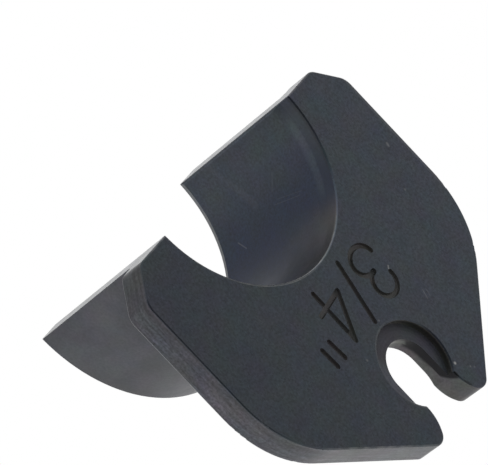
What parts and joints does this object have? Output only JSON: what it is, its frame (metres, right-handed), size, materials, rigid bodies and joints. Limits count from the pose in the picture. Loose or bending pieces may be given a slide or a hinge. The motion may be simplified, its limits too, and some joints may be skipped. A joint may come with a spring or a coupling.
{
  "type": "press fitting tool jaw",
  "caption": "Blackened steel half jaw for a press tool: a flat plate with a half-round cradle, a half tube behind it and a keyhole slot for the tool's stud.",
  "frame": {"origin": "on the axis of the half-round cradle, level with the plate's back face", "axes": "+X across the jaw from horn to horn, +Y back along the half tube, away from the marked front face, +Z out of the open cradle; the keyhole slot opens towards -Z"},
  "size_m": [0.0488, 0.0208, 0.0376],
  "materials": {
    "black_steel": "black oxide, satin"
  },
  "bodies": {
    "root": {"jaw_body": "black_steel"}
  },
  "joints": []
}
